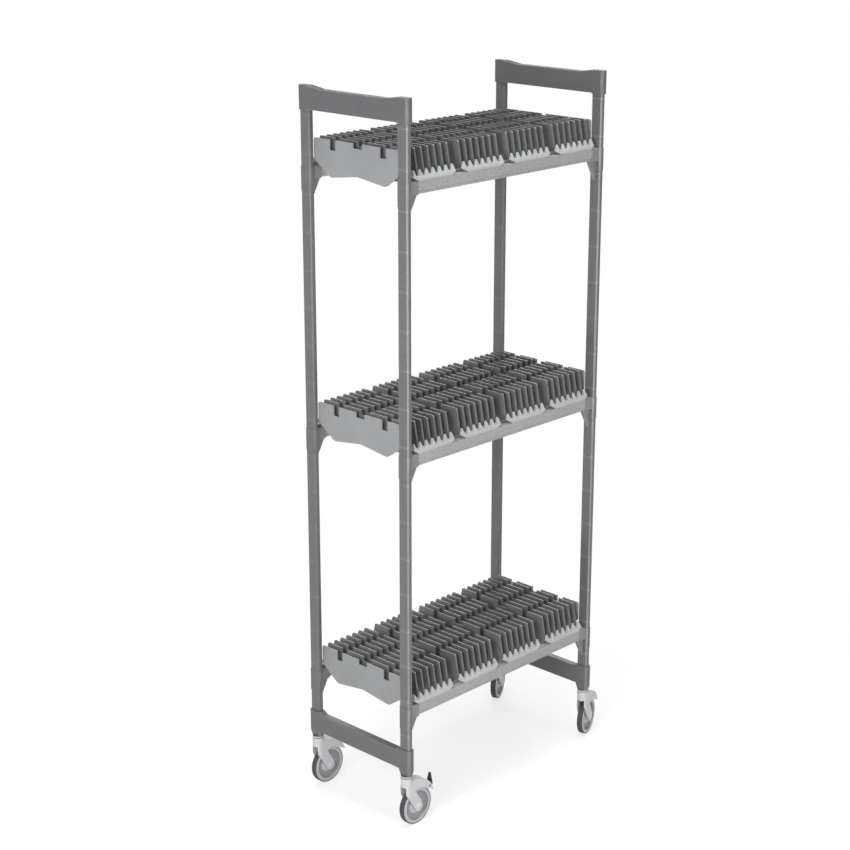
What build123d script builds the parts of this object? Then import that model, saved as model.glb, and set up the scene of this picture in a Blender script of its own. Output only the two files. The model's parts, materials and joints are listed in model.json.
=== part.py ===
from build123d import *
import math
import os

# Plate rack on casters. Millimetres, +Z up, X along the long side, the front at -Y.
# The origin is on the floor, midway between the four posts.

# Driving dimensions: frame
overall_height = 1905.0
post_spacing_x = 722.0
post_spacing_y = 336.0
post_x = 15.5
post_y = 34.0
post_corner = 5.0
core_x = 6.0
core_y = 24.0
core_clearance = 0.15
core_headroom = 12.0
sleeve_clearance = 0.15

# Shelf-height notches in the posts' front and rear faces
notch_pitch = 98.0
notch_width = 8.0
notch_height = 3.0
notch_depth = 1.0
notch_margin = 40.0

# End bars and their sleeves
cap_height = 60.0
cap_wall = 3.3
cap_top = 6.0
top_bar_height = 53.0
top_bar_drop = 6.0
top_bar_flare = 40.0
foot_height = 75.0
foot_wall = 4.0
foot_floor = 11.0
foot_taper = 15.0
foot_taper_inset = 4.0
bottom_bar_height = 51.0
bottom_bar_drop = 7.0
bottom_bar_flare = 8.0
bar_edge = 3.0
bar_inset = 0.4
bar_flare_turn = 0.8

# Tiers: the bottom one is set up from the foot sleeves, the top one down from the top
bottom_tier_rise = 119.0
top_tier_drop = 200.0
beam_height = 31.0
beam_depth = 22.0
beam_wall = 3.0
beam_step_height = 7.0
beam_step_depth = 1.2

# Post brackets
collar_height = 60.0
collar_wall = 1.2
collar_clearance = 0.1
shoe_length = 26.0
shoe_wall = 1.6
shoe_clearance = 0.1
gusset_length = 29.0
gusset_drop = 53.0
gusset_thickness = 10.0

# Cradles
cradles_per_tier = 4
cradle_gap = 1.4
cradle_end_clearance = 0.3
fins_per_cradle = 7
fin_pitch = 22.5
fin_thickness = 4.6
fin_height = 75.0
fin_lean = 13.0
fin_setback = 2.0
fin_corner = 4.0
comb_depth = 14.0
comb_strip = 10.0
comb_overhang = 7.5
comb_slant = 15.0
tooth_height = 15.0
tooth_root = 10.5
tooth_tip = 2.4
tooth_face_rise = 4.0
tooth_crest = 5.0
rib_width = 5.0
rib_height = 8.0
rail_width = 8.0
rail_spacing = 87.0

# Notches along the top edge of the fins and of the end walls
deep_notch_offset = 87.0
deep_notch_width = 20.0
deep_notch_depth = 26.0
middle_notch_width = 31.0
middle_notch_depth = 13.0

# End walls, let into the outer ends of the outer cradles
wall_thickness = 3.2
wall_half_depth = 154.0
wall_height = 72.0
wall_apex_drop = 9.0
wall_lobe_drop = 22.0
wall_lobe_inset = 58.0
wall_lobe_round = 24.0
wall_end_rise = 19.0
wall_corner = 6.0

# Casters
wheel_diameter = 104.0
wheel_width = 16.0
caster_trail = 33.0
tyre_depth = 2.6
tyre_round = 1.8
hub_diameter = 24.0
hub_side_gap = 0.5
web_recess = 6.2
rim_ring = 8.0
axle_diameter = 10.0
axle_clearance = 0.05
axle_head = 15.0
axle_head_length = 2.0
fork_plate = 5.0
fork_gap = 2.0
fork_boss = 27.0
king_seat_gap = 14.0
neck_height = 25.7
well_gap = 5.0
hood_shoulder = 14.0
hood_crest_trail = 26.0
hood_crest_rise = 17.0
hood_back_overhang = 2.0
hood_tail_rise = 30.0
hood_skirt_lap = 1.0
hood_skirt_end = 10.0
leg_back = 19.0
leg_turn = 35.0
head_gap = 0.3
flange_diameter = 29.0
flange_thickness = 6.0
king_diameter = 10.0
king_clearance = 0.05
king_head_diameter = 16.0
king_head = 2.6
stem_diameter = 11.0
stem_clearance = 0.1

# Resting swivel of each caster, in degrees from trailing along +X
caster_rest = {"rear_left": 0.0, "front_left": 0.0, "front_right": 18.0, "rear_right": 25.0}
braked = ("front_left", "rear_right")

# Brake pedals, each on a pin between the back corners of the fork's cheeks
pedal_pin_diameter = 6.0
pedal_pin_clearance = 0.05
pedal_pin_inset = 13.0
pedal_pin_drop = 8.0
pedal_side_gap = 1.0
pedal_hub_radius = 5.0
pedal_slot_gap = 1.0
pedal_overhang = 3.0
pedal_plate = 4.0
pedal_tab_rise = 29.0
pedal_tab_drop = 4.0
pedal_tab_foot = 18.0
pedal_tab_tip = 5.0
brake_lobe_radius = 2.0
brake_lobe_throw = 5.0
brake_lobe_turn = 250.0

os.makedirs("parts", exist_ok=True)

half_x = post_spacing_x / 2
half_y = post_spacing_y / 2
corners = {
    "rear_left": (-half_x, half_y),
    "front_left": (-half_x, -half_y),
    "front_right": (half_x, -half_y),
    "rear_right": (half_x, half_y),
}
sides = {"left": -half_x, "right": half_x}
king_seat = wheel_diameter + king_seat_gap
neck_top = king_seat + neck_height
foot_bottom = neck_top + head_gap + flange_thickness
foot_top = foot_bottom + foot_height
post_bottom = foot_bottom + foot_floor
post_top = overall_height - cap_top
bottom_tier = foot_top + bottom_tier_rise
top_tier = overall_height - top_tier_drop
tier_tops = {"bottom": bottom_tier, "middle": (bottom_tier + top_tier) / 2, "top": top_tier}


def keep(solids, name):
    """Write one named node, a single solid or a group of like solids."""
    if isinstance(solids, list):
        shape = Compound(children=solids)
    else:
        shape = solids
    shape.label = name
    export_step(shape, f"parts/{name}.step")


def block(x0, x1, y0, y1, z0, z1):
    """A box between two corners."""
    return Pos((x0 + x1) / 2, (y0 + y1) / 2, (z0 + z1) / 2) * Box(x1 - x0, y1 - y0, z1 - z0)


def rod(radius, z0, z1):
    """An upright cylinder on the Z axis."""
    return Pos(0, 0, (z0 + z1) / 2) * Cylinder(radius, z1 - z0)


def column(width, depth, radius, z0, z1):
    """An upright bar of rounded rectangular section."""
    return Pos(0, 0, z0) * extrude(RectangleRounded(width, depth, radius), z1 - z0)


def slab(points, plane, length):
    """A flat outline extruded evenly to both sides of its plane."""
    outline = make_face(Polyline(*points, close=True))
    return extrude(plane * outline, length / 2, both=True)


# Posts: moulded over a flat steel core, with shelf-height notches down two faces
def make_post():
    body = column(post_x, post_y, post_corner, post_bottom, post_top)
    body -= block(
        -core_x / 2 - core_clearance,
        core_x / 2 + core_clearance,
        -core_y / 2 - core_clearance,
        core_y / 2 + core_clearance,
        post_bottom,
        post_top,
    )
    z = foot_top + notch_margin
    while z < overall_height - cap_height - notch_margin:
        for face in (-post_y / 2, post_y / 2):
            body -= block(
                -notch_width / 2,
                notch_width / 2,
                face - notch_depth,
                face + notch_depth,
                z - notch_height / 2,
                z + notch_height / 2,
            )
        z += notch_pitch
    return body


post = make_post()
for corner, (x, y) in corners.items():
    keep(Pos(x, y, 0) * post, f"post_{corner}")

core = block(-core_x / 2, core_x / 2, -core_y / 2, core_y / 2, post_bottom, post_top - core_headroom)
keep([Pos(x, y, 0) * core for x, y in corners.values()], "post_cores")


# End bars: one moulding with a sleeve at each end that slips over a post
def tapered_end(wall, z0, z1):
    """The narrowing lower end of a foot sleeve."""
    wide = RectangleRounded(post_x + 2 * wall, post_y + 2 * wall, post_corner + wall)
    end = wall - foot_taper_inset
    narrow = RectangleRounded(post_x + 2 * end, post_y + 2 * end, post_corner + end)
    return loft([Pos(0, 0, z0) * narrow, Pos(0, 0, z1) * wide])


def end_bar(wall, z0, z1, pocket0, pocket1, bar0, bar1, flare, taper):
    """A bar nearly flush with its two sleeves, whose top edge rises to their tops over the flare."""
    fit = 2 * sleeve_clearance
    outer = column(post_x + 2 * wall, post_y + 2 * wall, post_corner + wall, z0 + taper, z1)
    if taper:
        outer += tapered_end(wall, z0, z0 + taper)
    pocket = column(post_x + fit, post_y + fit, post_corner + sleeve_clearance, pocket0, pocket1)
    root = half_y
    reach = root - post_y / 2 - wall
    neck = reach - flare
    peak = z1 - bar_inset
    right_half = [(root, bar0), (root, peak), (reach, peak), (neck, bar1)]
    left_half = [(-y, z) for y, z in reversed(right_half)]
    bar = slab(right_half + left_half, Plane.YZ, post_x + 2 * wall - 2 * bar_inset)
    necks = [e for e in bar.edges().filter_by(Axis.X) if abs(e.center().Y) < root and e.center().Z > bar0]
    bar = fillet(necks, bar_flare_turn * flare)
    sides_x = bar.faces().sort_by(Axis.X)
    long_edges = sides_x[0].edges() + sides_x[-1].edges()
    bar = fillet([e for e in long_edges if abs(e.center().Y) < root], bar_edge)
    for y in (-half_y, half_y):
        bar += Pos(0, y, 0) * outer
    for y in (-half_y, half_y):
        bar -= Pos(0, y, 0) * pocket
    return bar


cap_bottom = overall_height - cap_height
top_bar_top = overall_height - top_bar_drop
top_bar_bottom = top_bar_top - top_bar_height
top_bar = end_bar(
    cap_wall, cap_bottom, overall_height, cap_bottom, post_top, top_bar_bottom, top_bar_top, top_bar_flare, 0
)
bar_top = foot_top - bottom_bar_drop
bar_bottom = bar_top - bottom_bar_height
bottom_bar = end_bar(
    foot_wall, foot_bottom, foot_top, post_bottom, foot_top, bar_bottom, bar_top, bottom_bar_flare, foot_taper
)
stem_hole = rod(stem_diameter / 2 + stem_clearance, foot_bottom, post_bottom)
for end in (-half_y, half_y):
    bottom_bar -= Pos(0, end, 0) * stem_hole
for side, x in sides.items():
    keep(Pos(x, 0, 0) * top_bar, f"top_end_bar_{side}")
    keep(Pos(x, 0, 0) * bottom_bar, f"bottom_end_bar_{side}")

# Beams: channels open below, with a step along the lower edge, that drop into the brackets' shoes
collar_face = half_x - post_x / 2 - collar_clearance - collar_wall
beam_length = 2 * (collar_face - shoe_clearance)


def make_beam():
    outer = block(-beam_length / 2, beam_length / 2, -beam_depth / 2, beam_depth / 2, -beam_height, 0)
    inner_half = beam_depth / 2 - beam_wall
    outer -= block(-beam_length / 2, beam_length / 2, -inner_half, inner_half, -beam_height, -beam_wall)
    for face in (-beam_depth / 2, beam_depth / 2):
        outer -= block(
            -beam_length / 2,
            beam_length / 2,
            face - beam_step_depth,
            face + beam_step_depth,
            -beam_height,
            -beam_height + beam_step_height,
        )
    return outer


beam = make_beam()
for tier, top in tier_tops.items():
    keep(Pos(0, -half_y, top) * beam, f"{tier}_front_beam")
    keep(Pos(0, half_y, top) * beam, f"{tier}_rear_beam")


# Post brackets: a collar round the post, an open shoe for the beam's end and a gusset below it
def make_bracket():
    inner_x = post_x + 2 * collar_clearance
    inner_y = post_y + 2 * collar_clearance
    outer_x = inner_x + 2 * collar_wall
    outer_y = inner_y + 2 * collar_wall
    collar = column(outer_x, outer_y, post_corner + collar_clearance + collar_wall, -collar_height, 0)
    start = outer_x / 2 - collar_wall
    face = outer_x / 2
    shoe_half = beam_depth / 2 + shoe_clearance
    shoe = block(
        start, face + shoe_length, -shoe_half - shoe_wall, shoe_half + shoe_wall, -beam_height - shoe_wall, 0
    )
    shoe -= block(face, face + shoe_length, -shoe_half, shoe_half, -beam_height, 0)
    gusset_top = -beam_height - shoe_wall
    gusset_foot = gusset_top - gusset_drop
    outline = [
        (start, gusset_top),
        (face + gusset_length, gusset_top),
        (face, gusset_foot),
        (start, gusset_foot),
    ]
    body = collar + shoe + slab(outline, Plane.XZ, gusset_thickness)
    return body - column(inner_x, inner_y, post_corner + collar_clearance, gusset_foot, 0)


bracket = make_bracket()
mirrored = bracket.mirror(Plane.YZ)
brackets = []
for top in tier_tops.values():
    for x, y in corners.values():
        piece = bracket if x < 0 else mirrored
        brackets.append(Pos(x, y, top) * piece)
keep(brackets, "post_brackets")

# Cradles: a light base with combs at front and rear, seven dark fins across it and a wall at each tier's end
cradle_span = 2 * (collar_face - cradle_end_clearance)
cradle_length = (cradle_span - (cradles_per_tier - 1) * cradle_gap) / cradles_per_tier
comb_half = (fins_per_cradle - 1) / 2 * fin_pitch + comb_overhang
comb_front = half_y + beam_depth / 2
comb_back = comb_front - comb_depth
comb_top = comb_strip + tooth_height


def make_comb():
    foot = comb_half - comb_slant
    strip = [(-foot, 0), (foot, 0), (comb_half, comb_strip), (-comb_half, comb_strip)]
    body = slab(strip, Plane.XZ, 2 * comb_front)
    for index in range(fins_per_cradle):
        x = (index - (fins_per_cradle - 1) / 2) * fin_pitch
        tooth = [
            (x - tooth_root / 2, comb_strip),
            (x + tooth_root / 2, comb_strip),
            (x + tooth_tip / 2, comb_top),
            (x - tooth_tip / 2, comb_top),
        ]
        body += slab(tooth, Plane.XZ, 2 * comb_front)
    section = [
        (-comb_front, 0),
        (-comb_back, 0),
        (-comb_back, comb_top),
        (-comb_back - tooth_crest, comb_top),
        (-comb_front, tooth_face_rise),
    ]
    return body & slab(section, Plane.YZ, cradle_length)


def notched(height, half_depth):
    """The blocks cut out along the top edge of a fin or an end wall, as far up as the tallest piece."""
    reach = 2 * cradle_length
    cuts = []
    for y in (-deep_notch_offset, deep_notch_offset):
        cuts.append(
            block(
                -reach,
                reach,
                y - deep_notch_width / 2,
                y + deep_notch_width / 2,
                height - deep_notch_depth,
                height + half_depth,
            )
        )
    cuts.append(
        block(
            -reach,
            reach,
            -middle_notch_width / 2,
            middle_notch_width / 2,
            height - middle_notch_depth,
            height + half_depth,
        )
    )
    return cuts


def make_end_wall():
    lobe = wall_half_depth - wall_lobe_inset
    outline = [
        (-wall_half_depth, wall_end_rise),
        (-lobe, -wall_lobe_drop),
        (0, -wall_apex_drop),
        (lobe, -wall_lobe_drop),
        (wall_half_depth, wall_end_rise),
        (wall_half_depth, wall_height),
        (-wall_half_depth, wall_height),
    ]
    wall = slab(outline, Plane.YZ, wall_thickness)
    edges = wall.edges().filter_by(Axis.X)
    wall = fillet([e for e in edges if e.center().Z < 0], wall_lobe_round)
    edges = wall.edges().filter_by(Axis.X)
    wall = fillet([e for e in edges if abs(e.center().Y) > (lobe + wall_half_depth) / 2], wall_corner)
    for cut in notched(wall_height, wall_half_depth):
        wall -= cut
    return wall


def make_base():
    comb = make_comb()
    body = comb + comb.mirror(Plane.XZ)
    outer_rib = comb_half - comb_slant - rib_width / 2
    for x in (-outer_rib, 0, outer_rib):
        body += block(x - rib_width / 2, x + rib_width / 2, -comb_back, comb_back, 0, rib_height)
    for y in (-rail_spacing, 0, rail_spacing):
        body += block(
            -cradle_length / 2, cradle_length / 2, y - rail_width / 2, y + rail_width / 2, 0, rib_height
        )
    return body


def make_fin():
    half = comb_back - fin_setback
    outline = [
        (-half, rib_height),
        (half, rib_height),
        (half - fin_lean, fin_height),
        (fin_lean - half, fin_height),
    ]
    fin = slab(outline, Plane.YZ, fin_thickness)
    fin = fillet([e for e in fin.edges().filter_by(Axis.X) if e.center().Z > fin_height / 2], fin_corner)
    for cut in notched(fin_height, half):
        fin -= cut
    return fin


base = make_base()
end_wall = make_end_wall()
wall_place = cradle_length / 2 - wall_thickness / 2
left_wall = Pos(-wall_place, 0, 0) * end_wall
right_wall = Pos(wall_place, 0, 0) * end_wall
bases = {"left": base - left_wall, "inner": base, "right": base - right_wall}
fin = make_fin()
end_walls = []
for tier, top in tier_tops.items():
    for index in range(cradles_per_tier):
        x = (index - (cradles_per_tier - 1) / 2) * (cradle_length + cradle_gap)
        kind = "left" if index == 0 else "right" if index == cradles_per_tier - 1 else "inner"
        keep(Pos(x, 0, top) * bases[kind], f"{tier}_cradle_base_{index + 1}")
        fins = []
        for place in range(fins_per_cradle):
            offset = (place - (fins_per_cradle - 1) / 2) * fin_pitch
            fins.append(Pos(x + offset, 0, top) * fin)
        keep(fins, f"{tier}_cradle_fins_{index + 1}")
        if kind == "left":
            end_walls.append(Pos(x, 0, top) * left_wall)
        if kind == "right":
            end_walls.append(Pos(x, 0, top) * right_wall)
keep(end_walls, "cradle_end_walls")

# Casters, drawn trailing along +X with the swivel axis on Z, then turned and set under each post
wheel_radius = wheel_diameter / 2
rim_radius = wheel_radius - tyre_depth
leg_inner = wheel_width / 2 + fork_gap
leg_outer = leg_inner + fork_plate
hood_back = caster_trail + wheel_radius + hood_back_overhang
hood_skirt = wheel_diameter - hood_skirt_lap
hood_tail = wheel_radius + hood_tail_rise
pedal_pin_trail = hood_back - pedal_pin_inset
pedal_pin_height = wheel_diameter - pedal_pin_drop


def across(radius, y0, y1, x, z):
    """A cylinder that lies along Y."""
    return Pos(x, (y0 + y1) / 2, z) * Rot(90, 0, 0) * Cylinder(radius, y1 - y0)


def make_tyre():
    outer = across(wheel_radius, -wheel_width / 2, wheel_width / 2, caster_trail, wheel_radius)
    outer = fillet(outer.edges().filter_by(GeomType.CIRCLE), tyre_round)
    return outer - across(rim_radius, -wheel_width / 2, wheel_width / 2, caster_trail, wheel_radius)


def make_wheel():
    half = wheel_width / 2
    body = across(rim_radius, -half, half, caster_trail, wheel_radius)
    recess = across(rim_radius - rim_ring, half - web_recess, half, caster_trail, wheel_radius)
    recess -= across(hub_diameter / 2, half - web_recess, half, caster_trail, wheel_radius)
    body -= recess
    body -= recess.mirror(Plane.XZ)
    hub_end = leg_inner - hub_side_gap
    body += across(hub_diameter / 2, -hub_end, hub_end, caster_trail, wheel_radius)
    return body - across(axle_diameter / 2 + axle_clearance, -hub_end, hub_end, caster_trail, wheel_radius)


def make_axle():
    reach = leg_outer + axle_head_length
    body = across(axle_diameter / 2, -reach, reach, caster_trail, wheel_radius)
    for y0, y1 in ((-reach, -leg_outer), (leg_outer, reach)):
        body += across(axle_head / 2, y0, y1, caster_trail, wheel_radius)
    return body


def make_fork(with_pedal):
    boss = fork_boss / 2
    ahead = boss * math.cos(math.radians(leg_turn))
    above = boss * math.sin(math.radians(leg_turn))
    hood_top = neck_top - hood_shoulder
    crest = (caster_trail + hood_crest_trail, wheel_diameter + hood_crest_rise)
    tail = (hood_back, hood_tail)
    roof = ThreePointArc((0, hood_top), crest, tail)
    cheek = Polyline(
        tail,
        (caster_trail + hood_skirt_end, hood_skirt),
        (leg_back, hood_skirt),
        (caster_trail + ahead, wheel_radius + above),
        (caster_trail - ahead, wheel_radius - above),
        (-leg_outer, wheel_diameter),
        (-leg_outer, hood_top),
        (0, hood_top),
    )
    body = extrude(Plane.XZ * make_face([roof, cheek]), leg_outer, both=True)
    plan = rod(leg_outer, 0, neck_top) + block(0, 2 * hood_back, -leg_outer, leg_outer, 0, neck_top)
    body &= plan
    body += across(boss, -leg_outer, leg_outer, caster_trail, wheel_radius)
    body -= across(wheel_radius + well_gap, -leg_inner, leg_inner, caster_trail, wheel_radius)
    body -= block(-leg_outer, caster_trail, -leg_inner, leg_inner, 0, king_seat)
    body += rod(leg_outer, king_seat, neck_top)
    body -= across(axle_diameter / 2, -leg_outer, leg_outer, caster_trail, wheel_radius)
    body -= rod(king_diameter / 2 + king_clearance, king_seat, neck_top)
    if with_pedal:
        slot = pedal_pin_trail - pedal_hub_radius - pedal_slot_gap
        body -= block(slot, 2 * hood_back, -leg_inner, leg_inner, 0, neck_top)
        pin_hole = pedal_pin_diameter / 2 + pedal_pin_clearance
        body -= across(pin_hole, -leg_outer, leg_outer, pedal_pin_trail, pedal_pin_height)
    return body


def make_stem():
    body = rod(flange_diameter / 2, foot_bottom - flange_thickness, foot_bottom)
    body += rod(stem_diameter / 2, foot_bottom, post_bottom)
    body += rod(king_diameter / 2, king_seat - head_gap, foot_bottom)
    body += rod(king_head_diameter / 2, king_seat - head_gap - king_head, king_seat - head_gap)
    return body


def make_pedal():
    half = leg_inner - pedal_side_gap
    body = across(pedal_pin_diameter / 2, -leg_outer, leg_outer, pedal_pin_trail, pedal_pin_height)
    body += across(pedal_hub_radius, -half, half, pedal_pin_trail, pedal_pin_height)
    end = hood_back + pedal_overhang
    lever0 = pedal_pin_height - pedal_plate / 2
    lever1 = pedal_pin_height + pedal_plate / 2
    body += block(pedal_pin_trail, end, -pedal_tab_foot / 2, pedal_tab_foot / 2, lever0, lever1)
    tab = [
        (-pedal_tab_foot / 2, pedal_pin_height - pedal_tab_drop),
        (pedal_tab_foot / 2, pedal_pin_height - pedal_tab_drop),
        (pedal_tab_foot / 2, lever1),
        (pedal_tab_tip / 2, pedal_pin_height + pedal_tab_rise),
        (-pedal_tab_tip / 2, pedal_pin_height + pedal_tab_rise),
        (-pedal_tab_foot / 2, lever1),
    ]
    body += Pos(end - pedal_plate / 2, 0, 0) * slab(tab, Plane.YZ, pedal_plate)
    lobe_x = pedal_pin_trail + brake_lobe_throw * math.cos(math.radians(brake_lobe_turn))
    lobe_z = pedal_pin_height + brake_lobe_throw * math.sin(math.radians(brake_lobe_turn))
    body += across(brake_lobe_radius, -half, half, lobe_x, lobe_z)
    return body


tyre = make_tyre()
wheel = make_wheel()
axle = make_axle()
stem = make_stem()
pedal = make_pedal()
forks = {True: make_fork(True), False: make_fork(False)}
stems = []
for corner, (x, y) in corners.items():
    place = Pos(x, y, 0) * Rot(0, 0, caster_rest[corner])
    keep(place * forks[corner in braked], f"fork_{corner}")
    keep(place * axle, f"axle_{corner}")
    keep(place * wheel, f"wheel_{corner}")
    keep(place * tyre, f"tyre_{corner}")
    stems.append(place * stem)
    if corner in braked:
        keep(place * pedal, f"brake_pedal_{corner}")
keep(stems, "caster_stems")
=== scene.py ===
import json
import math

import bmesh
import bpy
from mathutils import Matrix, Vector


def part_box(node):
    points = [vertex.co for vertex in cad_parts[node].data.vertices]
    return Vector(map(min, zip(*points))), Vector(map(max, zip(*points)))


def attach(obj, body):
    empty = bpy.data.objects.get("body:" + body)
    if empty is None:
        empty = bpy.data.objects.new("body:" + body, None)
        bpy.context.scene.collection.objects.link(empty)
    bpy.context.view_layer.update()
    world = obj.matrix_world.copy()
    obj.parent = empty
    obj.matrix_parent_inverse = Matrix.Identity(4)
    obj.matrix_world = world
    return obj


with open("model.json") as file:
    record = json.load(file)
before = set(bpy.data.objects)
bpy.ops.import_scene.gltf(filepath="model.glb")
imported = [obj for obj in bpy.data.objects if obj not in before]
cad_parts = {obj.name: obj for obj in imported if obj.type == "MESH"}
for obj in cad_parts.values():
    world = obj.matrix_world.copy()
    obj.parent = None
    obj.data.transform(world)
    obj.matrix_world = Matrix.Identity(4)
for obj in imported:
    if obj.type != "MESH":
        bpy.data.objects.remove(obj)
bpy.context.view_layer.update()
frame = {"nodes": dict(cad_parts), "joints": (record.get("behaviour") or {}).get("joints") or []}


# Posts: four uprights of grey glass-filled plastic, moulded over a flat steel core, with a row of
# small locating notches down the front and rear faces. The sleeves of the end bars slip over their
# two ends. A painted highlight lightens the corners, strong on the front pair and faint on the rear
# pair, and pale bands are painted round each post at the notch heights.
def moulded_plastic(name, shade, fleck, cloud, roughness, grain, fleck_scale=260.0, edge_highlight=0.0):
    """Moulded plastic: filler flecks, slow clouding, fine grain, and a painted highlight on eased
    corners.
    """
    finish = bpy.data.materials.new(name)
    finish.use_nodes = True
    nodes = finish.node_tree.nodes
    links = finish.node_tree.links
    shader = nodes["Principled BSDF"]
    shader.inputs["IOR"].default_value = 1.5
    coords = nodes.new("ShaderNodeTexCoord")

    flecks = nodes.new("ShaderNodeTexNoise")
    flecks.inputs["Scale"].default_value = fleck_scale
    flecks.inputs["Detail"].default_value = 3.0
    flecks.inputs["Roughness"].default_value = 0.65
    links.new(coords.outputs["Object"], flecks.inputs["Vector"])
    fleck_colour = nodes.new("ShaderNodeValToRGB")
    dark, pale = fleck_colour.color_ramp.elements
    dark.position = 0.34
    pale.position = 0.66
    dark.color = (*[c * (1 - fleck) for c in shade], 1)
    pale.color = (*[min(1.0, c * (1 + fleck)) for c in shade], 1)
    links.new(flecks.outputs["Fac"], fleck_colour.inputs["Fac"])

    clouds = nodes.new("ShaderNodeTexNoise")
    clouds.inputs["Scale"].default_value = 11.0
    clouds.inputs["Detail"].default_value = 4.0
    links.new(coords.outputs["Object"], clouds.inputs["Vector"])
    cloud_shade = nodes.new("ShaderNodeMapRange")
    cloud_shade.inputs["From Min"].default_value = 0.3
    cloud_shade.inputs["From Max"].default_value = 0.7
    cloud_shade.inputs["To Min"].default_value = 1 - cloud
    cloud_shade.inputs["To Max"].default_value = 1 + cloud
    links.new(clouds.outputs["Fac"], cloud_shade.inputs["Value"])
    clouded = nodes.new("ShaderNodeVectorMath")
    clouded.operation = "SCALE"
    links.new(fleck_colour.outputs["Color"], clouded.inputs[0])
    links.new(cloud_shade.outputs["Result"], clouded.inputs["Scale"])
    colour = clouded
    if edge_highlight:
        # Painted highlight: an eased corner's normal lies between the axes, so its largest part is
        # below 1.
        facing = nodes.new("ShaderNodeVectorMath")
        facing.operation = "ABSOLUTE"
        links.new(coords.outputs["Normal"], facing.inputs[0])
        axes = nodes.new("ShaderNodeSeparateXYZ")
        links.new(facing.outputs["Vector"], axes.inputs["Vector"])
        level = nodes.new("ShaderNodeMath")
        level.operation = "MAXIMUM"
        links.new(axes.outputs["X"], level.inputs[0])
        links.new(axes.outputs["Y"], level.inputs[1])
        flat = nodes.new("ShaderNodeMath")
        flat.operation = "MAXIMUM"
        links.new(level.outputs["Value"], flat.inputs[0])
        links.new(axes.outputs["Z"], flat.inputs[1])
        edge_highlight_gain = nodes.new("ShaderNodeMapRange")
        edge_highlight_gain.interpolation_type = "SMOOTHSTEP"
        edge_highlight_gain.inputs["From Min"].default_value = 0.9
        edge_highlight_gain.inputs["From Max"].default_value = 0.995
        edge_highlight_gain.inputs["To Min"].default_value = 1 + edge_highlight
        edge_highlight_gain.inputs["To Max"].default_value = 1.0
        links.new(flat.outputs["Value"], edge_highlight_gain.inputs["Value"])
        colour = nodes.new("ShaderNodeVectorMath")
        colour.operation = "SCALE"
        links.new(clouded.outputs["Vector"], colour.inputs[0])
        links.new(edge_highlight_gain.outputs["Result"], colour.inputs["Scale"])
    links.new(colour.outputs["Vector"], shader.inputs["Base Color"])

    shinier, duller = 0.06, 0.08
    gloss = nodes.new("ShaderNodeMapRange")
    gloss.inputs["To Min"].default_value = roughness - shinier
    gloss.inputs["To Max"].default_value = roughness + duller
    links.new(clouds.outputs["Fac"], gloss.inputs["Value"])
    links.new(gloss.outputs["Result"], shader.inputs["Roughness"])

    grains = nodes.new("ShaderNodeTexNoise")
    grains.inputs["Scale"].default_value = 1400.0
    grains.inputs["Detail"].default_value = 2.0
    links.new(coords.outputs["Object"], grains.inputs["Vector"])
    relief = nodes.new("ShaderNodeBump")
    relief.inputs["Strength"].default_value = grain
    relief.inputs["Distance"].default_value = 0.0003
    links.new(grains.outputs["Fac"], relief.inputs["Height"])
    links.new(relief.outputs["Normal"], shader.inputs["Normal"])
    return finish


def dress(name, finish, edge=0.0):
    """Give a carried-over solid its finish, and ease its moulded edges."""
    piece = frame["nodes"][name]
    piece.data.materials.clear()
    piece.data.materials.append(finish)
    if edge:
        joined = piece.modifiers.new("joined_faces", "WELD")
        joined.merge_threshold = 0.00002
        eased = piece.modifiers.new("eased_edges", "BEVEL")
        eased.width = edge
        eased.segments = 2
        eased.limit_method = "ANGLE"
        eased.angle_limit = math.radians(38)
        eased.harden_normals = True
    return piece


def ring_marks(finish, first, pitch, half, lighter):
    """Pale rings painted round a post at the height of each notch."""
    nodes = finish.node_tree.nodes
    links = finish.node_tree.links
    base = nodes["Principled BSDF"].inputs["Base Color"]
    plain = base.links[0].from_socket
    coords = nodes.new("ShaderNodeTexCoord")
    axes = nodes.new("ShaderNodeSeparateXYZ")
    links.new(coords.outputs["Object"], axes.inputs["Vector"])
    past_first = nodes.new("ShaderNodeMath")
    past_first.operation = "SUBTRACT"
    past_first.inputs[1].default_value = first
    links.new(axes.outputs["Z"], past_first.inputs[0])
    from_notch = nodes.new("ShaderNodeMath")
    from_notch.operation = "PINGPONG"
    from_notch.inputs[1].default_value = pitch / 2
    links.new(past_first.outputs["Value"], from_notch.inputs[0])
    ring = nodes.new("ShaderNodeMapRange")
    ring.interpolation_type = "SMOOTHSTEP"
    ring.inputs["From Min"].default_value = 0.0
    ring.inputs["From Max"].default_value = half
    ring.inputs["To Min"].default_value = 1 + lighter
    ring.inputs["To Max"].default_value = 1.0
    links.new(from_notch.outputs["Value"], ring.inputs["Value"])
    marked = nodes.new("ShaderNodeVectorMath")
    marked.operation = "SCALE"
    links.new(plain, marked.inputs[0])
    links.new(ring.outputs["Result"], marked.inputs["Scale"])
    links.new(marked.outputs["Vector"], base)


corners = ("rear_left", "front_left", "front_right", "rear_right")
post_grey = (0.192, 0.194, 0.198)
post_plastic = moulded_plastic(
    "post_plastic", shade=post_grey,
    fleck=0.1, cloud=0.05, roughness=0.3, grain=0.1, edge_highlight=0.9,
)
# The rear pair's copy of the post plastic, with a faint painted corner highlight instead of a
# strong one.
rear_post_plastic = moulded_plastic(
    "rear_post_plastic", shade=post_grey,
    fleck=0.1, cloud=0.05, roughness=0.36, grain=0.1, edge_highlight=0.1,
)
notch_margin = 0.04
first_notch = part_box("bottom_end_bar_left")[1][2] + notch_margin
notch_pitch = 0.098
ring_half = 0.0048
ring_marks(post_plastic, first_notch, notch_pitch, ring_half, lighter=0.32)
ring_marks(rear_post_plastic, first_notch, notch_pitch, ring_half, lighter=0.16)
for corner in corners:
    post_finish = rear_post_plastic if "rear" in corner else post_plastic
    dress(f"post_{corner}", post_finish, edge=0.0006)


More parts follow.
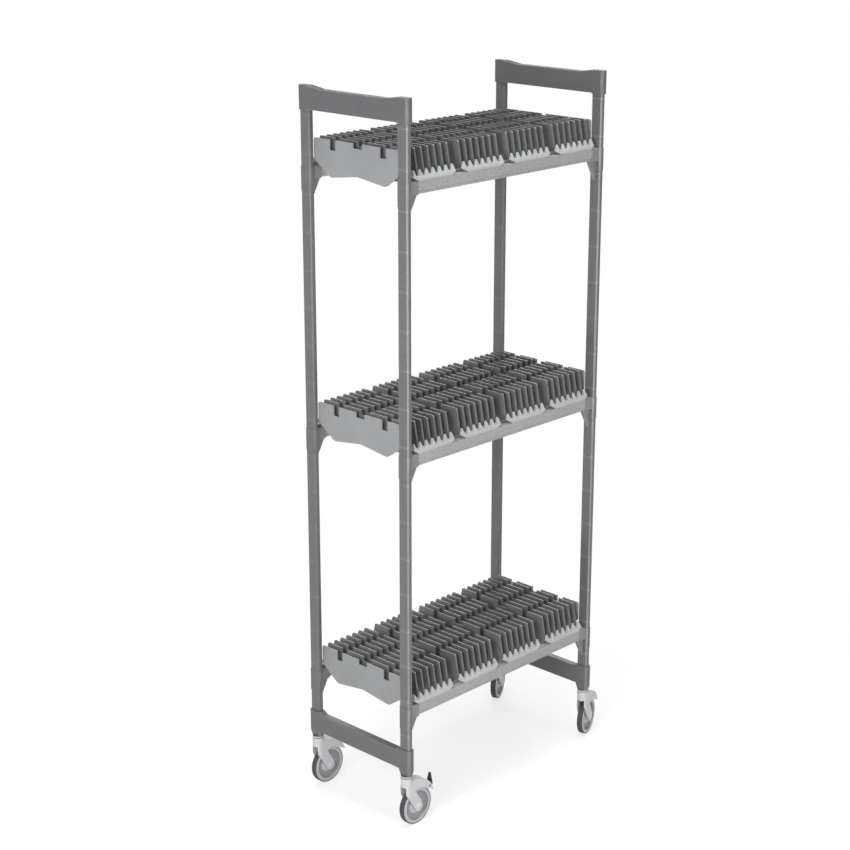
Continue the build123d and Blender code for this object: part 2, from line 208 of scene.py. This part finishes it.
# Post cores: flat bars of rolled steel inside the posts, which take the load. They never show
# once the end bars are on, and are left mill-bright with drawn lines along their length.
def drawn_steel(name, shade, roughness, stretch):
    """Steel with fine lines drawn out along Z by its making, and a slightly uneven shine."""
    finish = bpy.data.materials.new(name)
    finish.use_nodes = True
    nodes = finish.node_tree.nodes
    links = finish.node_tree.links
    shader = nodes["Principled BSDF"]
    shader.inputs["Metallic"].default_value = 1.0
    coords = nodes.new("ShaderNodeTexCoord")
    drawn = nodes.new("ShaderNodeMapping")
    drawn.inputs["Scale"].default_value = stretch
    links.new(coords.outputs["Object"], drawn.inputs["Vector"])
    lines = nodes.new("ShaderNodeTexNoise")
    lines.inputs["Scale"].default_value = 300.0
    lines.inputs["Detail"].default_value = 4.0
    links.new(drawn.outputs["Vector"], lines.inputs["Vector"])
    line_depth = 0.82
    tone = nodes.new("ShaderNodeValToRGB")
    dark, pale = tone.color_ramp.elements
    dark.color = (*[c * line_depth for c in shade], 1)
    pale.color = (*shade, 1)
    links.new(lines.outputs["Fac"], tone.inputs["Fac"])
    links.new(tone.outputs["Color"], shader.inputs["Base Color"])
    shinier, duller = 0.08, 0.1
    gloss = nodes.new("ShaderNodeMapRange")
    gloss.inputs["To Min"].default_value = roughness - shinier
    gloss.inputs["To Max"].default_value = roughness + duller
    links.new(lines.outputs["Fac"], gloss.inputs["Value"])
    links.new(gloss.outputs["Result"], shader.inputs["Roughness"])
    return finish


core_steel = drawn_steel("core_steel", (0.5, 0.5, 0.51), roughness=0.42, stretch=(1.0, 1.0, 0.02))
dress("post_cores", core_steel)


# End bars: one plastic moulding at each end of the rack, top and bottom, a bar between two
# sleeves. The top ones cap the posts and the bottom ones hold the casters' stems.
# The end bars' eased edges carry a painted highlight, weaker than the front posts'.
end_bar_plastic = moulded_plastic(
    "end_bar_plastic", shade=(0.172, 0.174, 0.178),
    fleck=0.1, cloud=0.05, roughness=0.36, grain=0.1, edge_highlight=0.45,
)
for side in ("left", "right"):
    dress(f"top_end_bar_{side}", end_bar_plastic, edge=0.0014)
    dress(f"bottom_end_bar_{side}", end_bar_plastic, edge=0.0014)


# Post brackets: a plastic collar round each post at each tier, with an open shoe that the beam's
# end drops into and a gusset below it. The collar is its post's grey with its post's painted corner
# highlight, strong at the front and faint at the rear, and the shoe and gusset are a lighter grey,
# nearer the beams'.
bracket_plastic = moulded_plastic(
    "bracket_plastic", shade=(0.33, 0.332, 0.325),
    fleck=0.14, cloud=0.06, roughness=0.48, grain=0.14,
)
collar_plastic = moulded_plastic(
    "collar_plastic", shade=post_grey,
    fleck=0.1, cloud=0.05, roughness=0.3, grain=0.1, edge_highlight=0.9,
)
rear_collar_plastic = moulded_plastic(
    "rear_collar_plastic", shade=post_grey,
    fleck=0.1, cloud=0.05, roughness=0.36, grain=0.1, edge_highlight=0.1,
)
brackets = dress("post_brackets", collar_plastic, edge=0.0007)
brackets.data.materials.append(bracket_plastic)
brackets.data.materials.append(rear_collar_plastic)
front_collar, shoe_and_gusset, rear_collar = range(3)
beam_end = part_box("top_front_beam")[1][0]
for face in brackets.data.polygons:
    if abs(face.center.x) < beam_end:
        face.material_index = shoe_and_gusset
    else:
        face.material_index = rear_collar if face.center.y > 0 else front_collar


# Beams: channels of grey speckled plastic along the front and rear of each tier, open below,
# with a step along the lower edge and thin cross ribs inside. They sit in the brackets' shoes and
# carry the cradles.
def moulded_blocks(name, blocks, finish, body, edge, place=Matrix()):
    """Small moulded blocks of one kind, each given by two opposite corners, as one piece."""
    mesh = bpy.data.meshes.new(name)
    work = bmesh.new()
    for low, high in blocks:
        low, high = Vector(low), Vector(high)
        made = bmesh.ops.create_cube(work, size=1.0)
        bmesh.ops.scale(work, vec=high - low, verts=made["verts"])
        bmesh.ops.translate(work, vec=(low + high) / 2, verts=made["verts"])
    work.to_mesh(mesh)
    work.free()
    mesh.materials.append(finish)
    piece = bpy.data.objects.new(name, mesh)
    piece.matrix_world = place
    bpy.context.scene.collection.objects.link(piece)
    eased = piece.modifiers.new("eased_edges", "BEVEL")
    eased.width = edge
    eased.segments = 2
    eased.harden_normals = True
    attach(piece, body)


tiers = ("bottom", "middle", "top")
beam_plastic = moulded_plastic(
    "beam_plastic", shade=(0.53, 0.534, 0.518),
    fleck=0.18, cloud=0.05, roughness=0.5, grain=0.16, fleck_scale=190.0,
)
beam_wall = 0.003
rib_half = 0.001
ribs_per_beam = 8
for tier in tiers:
    for side in ("front", "rear"):
        dress(f"{tier}_{side}_beam", beam_plastic, edge=0.0009)
        low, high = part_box(f"{tier}_{side}_beam")
        ribs = []
        for index in range(ribs_per_beam):
            x = low[0] + (index + 0.5) * (high[0] - low[0]) / ribs_per_beam
            rib_low = (x - rib_half, low[1] + beam_wall, low[2] + 2 * beam_wall)
            rib_high = (x + rib_half, high[1] - beam_wall, high[2] - beam_wall)
            ribs.append((rib_low, rib_high))
        rib_set = f"{tier}_{side}_beam_ribs"
        moulded_blocks(rib_set, ribs, beam_plastic, "frame", edge=0.0004)


# Cradle bases: light grey plastic mouldings laid across the beams, four to a tier, each with a
# comb of sloping teeth along the front and the rear that spaces what is stood in it. Small hooks
# under them drop between the two beams and keep them from sliding off.
cradle_plastic = moulded_plastic(
    "cradle_plastic", shade=(0.66, 0.665, 0.67),
    fleck=0.05, cloud=0.04, roughness=0.42, grain=0.08,
)
cradles_per_tier = 4
hook_half = 0.0045
hook_thickness = 0.003
hook_gap = 0.0002
hook_drop = 0.012
for tier in tiers:
    hooks = []
    front_beam_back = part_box(f"{tier}_front_beam")[1][1]
    rear_beam_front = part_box(f"{tier}_rear_beam")[0][1]
    hook_spans = (
        (front_beam_back + hook_gap, front_beam_back + hook_thickness),
        (rear_beam_front - hook_thickness, rear_beam_front - hook_gap),
    )
    for number in range(1, cradles_per_tier + 1):
        dress(f"{tier}_cradle_base_{number}", cradle_plastic, edge=0.0005)
        low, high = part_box(f"{tier}_cradle_fins_{number}")
        x = (low[0] + high[0]) / 2
        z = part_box(f"{tier}_cradle_base_{number}")[0][2]
        for near, far in hook_spans:
            hooks.append(((x - hook_half, near, z - hook_drop), (x + hook_half, far, z)))
    hook_set = f"{tier}_cradle_hooks"
    moulded_blocks(hook_set, hooks, cradle_plastic, "frame", edge=0.0006)


# Cradle end walls: plates let into the outer cradles at the two ends of each tier, notched along
# the top like the fins and arched below. They are the cradles' plastic, painted a darker grey as
# painted shade.
wall_plastic = moulded_plastic(
    "wall_plastic", shade=(0.42, 0.424, 0.43),
    fleck=0.05, cloud=0.05, roughness=0.46, grain=0.1,
)
dress("cradle_end_walls", wall_plastic, edge=0.0008)


# Cradle fins: dark grey plates that stand across each cradle, seven to a cradle, moulded in one
# set and clipped into the base, with slots between them and a painted highlight along their eased
# edges. A low skirt round the foot of each set closes the space behind the combs.
fin_plastic = moulded_plastic(
    "fin_plastic", shade=(0.235, 0.238, 0.243),
    fleck=0.1, cloud=0.06, roughness=0.42, grain=0.12, edge_highlight=1.2,
)
fin_thickness = 0.0046
skirt_lift = 0.0004
skirt_drop = 0.008
skirt_reach = 0.0165
skirt_inset = 0.0004
skirt_wall = 0.003
skirt_bite = 0.0004
skirt_stretches = ((-0.1565, -0.0915), (-0.0825, -0.0045), (0.0045, 0.0825), (0.0915, 0.1565))
for tier in tiers:
    skirts = []
    for number in range(1, cradles_per_tier + 1):
        dress(f"{tier}_cradle_fins_{number}", fin_plastic, edge=0.0016)
        low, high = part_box(f"{tier}_cradle_fins_{number}")
        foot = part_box(f"{tier}_cradle_base_{number}")[0][2] + skirt_lift
        top = low[2] + skirt_bite
        for x in (low[0], high[0] - fin_thickness):
            left, right = x + skirt_inset, x + fin_thickness - skirt_inset
            for near, far in skirt_stretches:
                skirts.append(((left, near, foot - skirt_drop), (right, far, top)))
        left, right = low[0] - skirt_reach, high[0] + skirt_reach
        front, rear = low[1] + skirt_inset, high[1] - skirt_inset
        for near, far in ((front, front + skirt_wall), (rear - skirt_wall, rear)):
            skirts.append(((left, near, foot), (right, far, top)))
    moulded_blocks(f"{tier}_fin_skirts", skirts, fin_plastic, "frame", edge=0.0004)


# Caster stems: zinc-plated steel pins pressed into the foot sleeves, each with a flange that the
# sleeve stands on and a king pin that the fork swivels about. A rubber ring closes the gap between
# the flange and the fork's neck.
def turned(name, profile, place, finish, body, segments=64):
    """A turned ring or cap: a closed profile of radius and height, spun about the local Z axis."""
    mesh = bpy.data.meshes.new(name)
    points = []
    faces = []
    count = len(profile)
    for turn in range(segments):
        angle = 2 * math.pi * turn / segments
        for radius, height in profile:
            points.append((radius * math.cos(angle), radius * math.sin(angle), height))
        ahead = (turn + 1) % segments
        for step in range(count):
            beyond = (step + 1) % count
            here, there = turn * count, ahead * count
            faces.append((here + step, there + step, there + beyond, here + beyond))
    mesh.from_pydata(points, [], faces)
    work = bmesh.new()
    work.from_mesh(mesh)
    bmesh.ops.remove_doubles(work, verts=work.verts, dist=0.000001)
    bmesh.ops.recalc_face_normals(work, faces=work.faces)
    work.to_mesh(mesh)
    work.free()
    mesh.polygons.foreach_set("use_smooth", [True] * len(mesh.polygons))
    mesh.set_sharp_from_angle(angle=math.radians(40))
    mesh.materials.append(finish)
    piece = bpy.data.objects.new(name, mesh)
    piece.matrix_world = place
    bpy.context.scene.collection.objects.link(piece)
    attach(piece, body)


joints = {joint["name"]: joint for joint in frame["joints"]}
zinc = drawn_steel("caster_zinc", (0.62, 0.62, 0.63), roughness=0.36, stretch=(1.0, 1.0, 0.2))
dress("caster_stems", zinc, edge=0.0004)
seal_rubber = moulded_plastic(
    "seal_rubber", shade=(0.3, 0.3, 0.305),
    fleck=0.1, cloud=0.08, roughness=0.6, grain=0.2,
)
neck_radius = 0.015
seal_section = (
    (-0.0016, -0.0004),
    (0.0001, -0.0004),
    (0.0003, 0.0002),
    (0.0001, 0.0009),
    (-0.0016, 0.0009),
)
seal_profile = [(neck_radius + out, height) for out, height in seal_section]
for corner in corners:
    x, y = joints[f"swivel_{corner}"]["pos_m"][:2]
    neck_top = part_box(f"fork_{corner}")[1][2]
    place = Matrix.Translation((x, y, neck_top))
    turned(f"swivel_seal_{corner}", seal_profile, place, seal_rubber, "frame")


# Caster forks: pale grey plastic mouldings, a round neck that opens into a hood over the wheel and
# two legs that slope back to the axle. The neck turns on the king pin.
fork_plastic = moulded_plastic(
    "fork_plastic", shade=(0.86, 0.86, 0.87),
    fleck=0.03, cloud=0.04, roughness=0.38, grain=0.06,
)
for corner in corners:
    dress(f"fork_{corner}", fork_plastic, edge=0.0012)


# Axles and wheels: a plated steel axle carries a pale plastic wheel with a beaded rim, a domed
# boss round its hub and a web sunk between them, whose darker grey is partly its own colour and
# partly painted shade for the recess. A plastic cap covers each end of the axle.
wheel_plastic = moulded_plastic(
    "wheel_plastic", shade=(0.72, 0.72, 0.74),
    fleck=0.04, cloud=0.05, roughness=0.42, grain=0.08,
)
web_plastic = moulded_plastic(
    "web_plastic", shade=(0.47, 0.47, 0.49),
    fleck=0.06, cloud=0.06, roughness=0.5, grain=0.12,
)
axle_end = 0.017
cap_dome = (
    (0.0, 0.0010),
    (0.0035, 0.0009),
    (0.0062, 0.0005),
    (0.0079, -0.0002),
    (0.0082, -0.0010),
    (0.0082, -0.0022),
    (0.0, -0.0022),
)
cap_profile = [(radius, axle_end + rise) for radius, rise in cap_dome]

hub_radius = 0.012
web_face = 0.0018
boss_lap = 0.0002
boss_bore = hub_radius - boss_lap
boss_dome = (
    (boss_bore, 0.0049),
    (0.0150, 0.0047),
    (0.0185, 0.0039),
    (0.0215, 0.0025),
    (0.0236, 0.0009),
    (0.0243, -0.0003),
    (boss_bore, -0.0003),
)
boss_profile = [(radius, web_face + rise) for radius, rise in boss_dome]

recess_radius = 0.0414
rim_face = 0.008
bead_sides = 8
bead_offset = 0.0002
bead_radius = recess_radius + bead_offset
bead_half_width = 0.0011
bead_half_height = 0.0007
bead_profile = []
for step in range(bead_sides):
    turn = 2 * math.pi * step / bead_sides
    across = bead_radius + bead_half_width * math.cos(turn)
    bead_profile.append((across, rim_face + bead_half_height * math.sin(turn)))

rim_margin = 0.0005
web_margin = 0.001
for corner in corners:
    dress(f"axle_{corner}", zinc, edge=0.0005)
    wheel = dress(f"wheel_{corner}", wheel_plastic, edge=0.0012)
    roll = joints[f"roll_{corner}"]
    axle_way = Vector(roll["axis"])
    wheel.data.materials.append(web_plastic)
    # Faces of the sunk web take the darker grey: part its own colour, part painted shade for the
    # recess.
    for face in wheel.data.polygons:
        out = face.center - Vector(roll["pos_m"])
        along = abs(out.dot(axle_way))
        across = (out - out.dot(axle_way) * axle_way).length
        sunk = along < rim_face - rim_margin
        on_web = sunk and hub_radius + web_margin < across < recess_radius + web_margin
        face.material_index = int(on_web)
    for side, way in (("inner", axle_way), ("outer", -axle_way)):
        place = Matrix.Translation(roll["pos_m"]) @ way.to_track_quat("Z", "Y").to_matrix().to_4x4()
        fork, wheel_set = f"caster_{corner}", f"rolling_wheel_{corner}"
        cap, boss = f"axle_cap_{side}_{corner}", f"hub_boss_{side}_{corner}"
        bead = f"rim_bead_{side}_{corner}"
        turned(cap, cap_profile, place, fork_plastic, fork, segments=40)
        turned(boss, boss_profile, place, wheel_plastic, wheel_set, segments=56)
        turned(bead, bead_profile, place, wheel_plastic, wheel_set, segments=72)


# Tyres: dark grey non-marking rubber bands moulded on the wheels, with a dull, slightly dusty
# tread.
tyre_rubber = moulded_plastic(
    "tyre_rubber", shade=(0.095, 0.095, 0.098),
    fleck=0.16, cloud=0.12, roughness=0.72, grain=0.3,
)
for corner in corners:
    dress(f"tyre_{corner}", tyre_rubber, edge=0.0005)


# Brake pedals: dark plastic levers on a pin between the back corners of the braked forks' cheeks,
# with an upright tab for the toe and a lobe that is pressed on the tyre. The tab has low grip
# ridges across it.
pedal_plastic = moulded_plastic(
    "pedal_plastic", shade=(0.05, 0.05, 0.053),
    fleck=0.12, cloud=0.06, roughness=0.46, grain=0.14,
)
tab_face = 0.016
tab_foot = 0.018
tab_tip = 0.005
tab_taper_height = 0.027
tab_narrowing = (tab_foot - tab_tip) / tab_taper_height
ridge_count = 4
first_ridge = 0.007
ridge_pitch = 0.0045
ridge_height = 0.0016
ridge_proud = 0.0007
ridge_margin = 0.0015
for corner in ("front_left", "rear_right"):
    dress(f"brake_pedal_{corner}", pedal_plastic, edge=0.0006)
    brake = joints[f"brake_{corner}"]
    pin_way = Vector(brake["axis"])
    turn = math.atan2(-pin_way.x, pin_way.y)
    place = Matrix.Translation(brake["pos_m"]) @ Matrix.Rotation(turn, 4, "Z")
    ridges = []
    for index in range(ridge_count):
        height = first_ridge + index * ridge_pitch
        half = (tab_foot - tab_narrowing * height) / 2 - ridge_margin
        ridge_low = (tab_face - ridge_proud, -half, height)
        ridge_high = (tab_face + ridge_proud, half, height + ridge_height)
        ridges.append((ridge_low, ridge_high))
    lever, ridge_set = f"brake_{corner}", f"pedal_ridges_{corner}"
    moulded_blocks(
        ridge_set, ridges, pedal_plastic, lever, edge=0.0004, place=place
    )


# Studio: a white floor that takes the rack's soft shadow and fades to a plain white surround,
# large soft lights at the left and overhead, weak ones in front and behind, and the camera at the
# photograph's angle.
floor_radius = 40.0
floor_mesh = bpy.data.meshes.new("studio_floor")
outline = bmesh.new()
bmesh.ops.create_circle(outline, cap_ends=True, segments=96, radius=floor_radius)
outline.to_mesh(floor_mesh)
outline.free()
floor = bpy.data.objects.new("studio_floor", floor_mesh)
bpy.context.scene.collection.objects.link(floor)

floor_white = bpy.data.materials.new("floor_white")
floor_white.use_nodes = True
nodes = floor_white.node_tree.nodes
links = floor_white.node_tree.links
nodes.remove(nodes["Principled BSDF"])
paint = nodes.new("ShaderNodeBsdfDiffuse")
paint.inputs["Color"].default_value = (0.5, 0.5, 0.5, 1)
lift = nodes.new("ShaderNodeEmission")
lift.inputs["Strength"].default_value = 0.66
lit_floor = nodes.new("ShaderNodeAddShader")
links.new(paint.outputs["BSDF"], lit_floor.inputs[0])
links.new(lift.outputs["Emission"], lit_floor.inputs[1])
surround = nodes.new("ShaderNodeEmission")
surround.inputs["Strength"].default_value = 1.0
spot = nodes.new("ShaderNodeTexCoord")
reach = nodes.new("ShaderNodeVectorMath")
reach.operation = "LENGTH"
links.new(spot.outputs["Object"], reach.inputs[0])
fade = nodes.new("ShaderNodeMapRange")
fade.interpolation_type = "SMOOTHSTEP"
fade.inputs["From Min"].default_value = 0.7
fade.inputs["From Max"].default_value = 1.9
links.new(reach.outputs["Value"], fade.inputs["Value"])
shown_floor = nodes.new("ShaderNodeMixShader")
links.new(fade.outputs["Result"], shown_floor.inputs["Fac"])
links.new(lit_floor.outputs["Shader"], shown_floor.inputs[1])
links.new(surround.outputs["Emission"], shown_floor.inputs[2])
ray = nodes.new("ShaderNodeLightPath")
seen = nodes.new("ShaderNodeMath")
seen.operation = "MAXIMUM"
links.new(ray.outputs["Is Camera Ray"], seen.inputs[0])
links.new(ray.outputs["Is Glossy Ray"], seen.inputs[1])
floor_mix = nodes.new("ShaderNodeMixShader")
links.new(seen.outputs["Value"], floor_mix.inputs["Fac"])
links.new(paint.outputs["BSDF"], floor_mix.inputs[1])
links.new(shown_floor.outputs["Shader"], floor_mix.inputs[2])
links.new(floor_mix.outputs["Shader"], nodes["Material Output"].inputs["Surface"])
floor.data.materials.append(floor_white)

world = bpy.data.worlds.new("studio_world")
bpy.context.scene.world = world
world.use_nodes = True
nodes = world.node_tree.nodes
links = world.node_tree.links
room = nodes["Background"]
room.inputs["Color"].default_value = (0.97, 0.985, 1.0, 1)
room.inputs["Strength"].default_value = 0.22
white = nodes.new("ShaderNodeBackground")
white.inputs["Color"].default_value = (1, 1, 1, 1)
white.inputs["Strength"].default_value = 1.0
ray = nodes.new("ShaderNodeLightPath")
seen = nodes.new("ShaderNodeMath")
seen.operation = "MAXIMUM"
links.new(ray.outputs["Is Camera Ray"], seen.inputs[0])
links.new(ray.outputs["Is Transmission Ray"], seen.inputs[1])
sky = nodes.new("ShaderNodeMixShader")
links.new(seen.outputs["Value"], sky.inputs["Fac"])
links.new(room.outputs["Background"], sky.inputs[1])
links.new(white.outputs["Background"], sky.inputs[2])
links.new(sky.outputs["Shader"], nodes["World Output"].inputs["Surface"])

rack_middle = Vector((0, 0, 0.95))
for name, place, power, size in (
    ("left_softbox", (-3.0, -1.0, 1.8), 50.0, 1.6),
    ("front_softbox", (-0.4, -3.0, 1.0), 20.0, 1.6),
    ("top_softbox", (-0.2, -0.3, 6.0), 150.0, 3.0),
    ("rear_softbox", (2.7, 2.5, 1.6), 26.0, 1.6),
):
    lamp = bpy.data.lights.new(name, "AREA")
    lamp.energy = power
    lamp.size = size
    softbox = bpy.data.objects.new(name, lamp)
    softbox.location = place
    softbox.rotation_euler = (rack_middle - Vector(place)).to_track_quat("-Z", "Y").to_euler()
    bpy.context.scene.collection.objects.link(softbox)

camera_place = (-3.5522, -3.2979, 2.5092)
yaw = math.radians(46.18)
pitch = math.radians(-17.436)
focal_pixels = 1908.5
photo_width = 850
aim = Vector((math.cos(pitch) * math.sin(yaw), math.cos(pitch) * math.cos(yaw), math.sin(pitch)))
eye = bpy.data.cameras.new("camera")
eye.sensor_width = 36.0
eye.lens = focal_pixels / photo_width * eye.sensor_width
camera = bpy.data.objects.new("camera", eye)
camera.location = camera_place
camera.rotation_euler = aim.to_track_quat("-Z", "Y").to_euler()
bpy.context.scene.collection.objects.link(camera)
bpy.context.scene.camera = camera
bpy.context.scene.view_settings.view_transform = "Standard"
